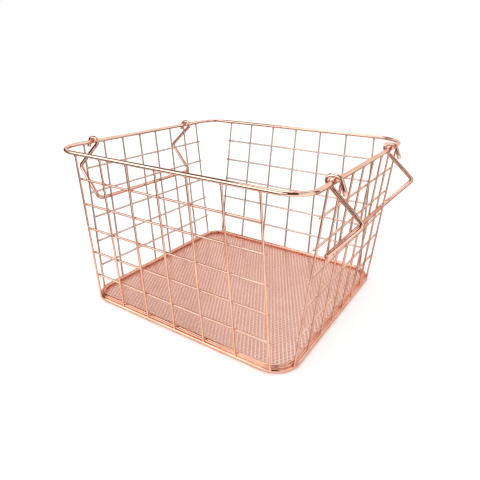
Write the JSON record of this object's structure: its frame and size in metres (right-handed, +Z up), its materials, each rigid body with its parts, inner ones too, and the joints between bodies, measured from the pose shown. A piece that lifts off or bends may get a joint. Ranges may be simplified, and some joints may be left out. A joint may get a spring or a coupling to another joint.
{
  "type": "wire storage basket",
  "caption": "Open wire basket with a rounded rectangular rim, outward-leaning grid walls, an expanded-metal floor and swinging bail handles on two sides.",
  "frame": {"origin": "on the standing plane, under the middle of the basket's outline", "axes": "+X to the right-hand handle, +Y to the back wall, +Z up"},
  "size_m": [0.3046, 0.2548, 0.1587],
  "materials": {
    "rim_plating": "polished rose-gold copper plating on steel wire",
    "base_plating": "polished rose-gold copper plating on steel wire, a little deeper in tone",
    "grid_plating": "polished rose-gold copper plating on thin steel wire",
    "floor_plating": "satin rose-gold copper plating on expanded steel sheet",
    "handle_plating": "polished rose-gold copper plating on bent steel wire"
  },
  "bodies": {
    "basket": {"top_rim": "rim_plating", "lower_base_ring": "base_plating", "upper_base_ring": "base_plating", "floor_mesh": "floor_plating", "front_upright_1": "grid_plating", "front_upright_2": "grid_plating", "front_upright_3": "grid_plating", "front_upright_4": "grid_plating", "front_upright_5": "grid_plating", "front_upright_6": "grid_plating", "front_upright_7": "grid_plating", "back_upright_1": "grid_plating", "back_upright_2": "grid_plating", "back_upright_3": "grid_plating", "back_upright_4": "grid_plating", "back_upright_5": "grid_plating", "back_upright_6": "grid_plating", "back_upright_7": "grid_plating", "left_upright_1": "grid_plating", "left_upright_2": "grid_plating", "left_upright_3": "grid_plating", "left_upright_4": "grid_plating", "left_upright_5": "grid_plating", "left_upright_6": "grid_plating", "left_upright_7": "grid_plating", "left_upright_8": "grid_plating", "right_upright_1": "grid_plating", "right_upright_2": "grid_plating", "right_upright_3": "grid_plating", "right_upright_4": "grid_plating", "right_upright_5": "grid_plating", "right_upright_6": "grid_plating", "right_upright_7": "grid_plating", "right_upright_8": "grid_plating", "front_cross_wire_1": "grid_plating", "front_cross_wire_2": "grid_plating", "front_cross_wire_3": "grid_plating", "front_cross_wire_4": "grid_plating", "front_cross_wire_5": "grid_plating", "back_cross_wire_1": "grid_plating", "back_cross_wire_2": "grid_plating", "back_cross_wire_3": "grid_plating", "back_cross_wire_4": "grid_plating", "back_cross_wire_5": "grid_plating", "left_cross_wire_1": "grid_plating", "left_cross_wire_2": "grid_plating", "left_cross_wire_3": "grid_plating", "left_cross_wire_4": "grid_plating", "left_cross_wire_5": "grid_plating", "right_cross_wire_1": "grid_plating", "right_cross_wire_2": "grid_plating", "right_cross_wire_3": "grid_plating", "right_cross_wire_4": "grid_plating", "right_cross_wire_5": "grid_plating"},
    "left_handle": {"left_handle": "handle_plating"},
    "right_handle": {"right_handle": "handle_plating"}
  },
  "joints": [
    {"name": "left_handle_swing", "type": "hinge", "parent": "basket", "child": "left_handle", "pos_m": [-0.1295, -0.0043, 0.1527], "axis": [0, 1, 0], "range_deg": [0, 305]},
    {"name": "right_handle_swing", "type": "hinge", "parent": "basket", "child": "right_handle", "pos_m": [0.1295, -0.0043, 0.1527], "axis": [0, -1, 0], "range_deg": [0, 305]}
  ]
}
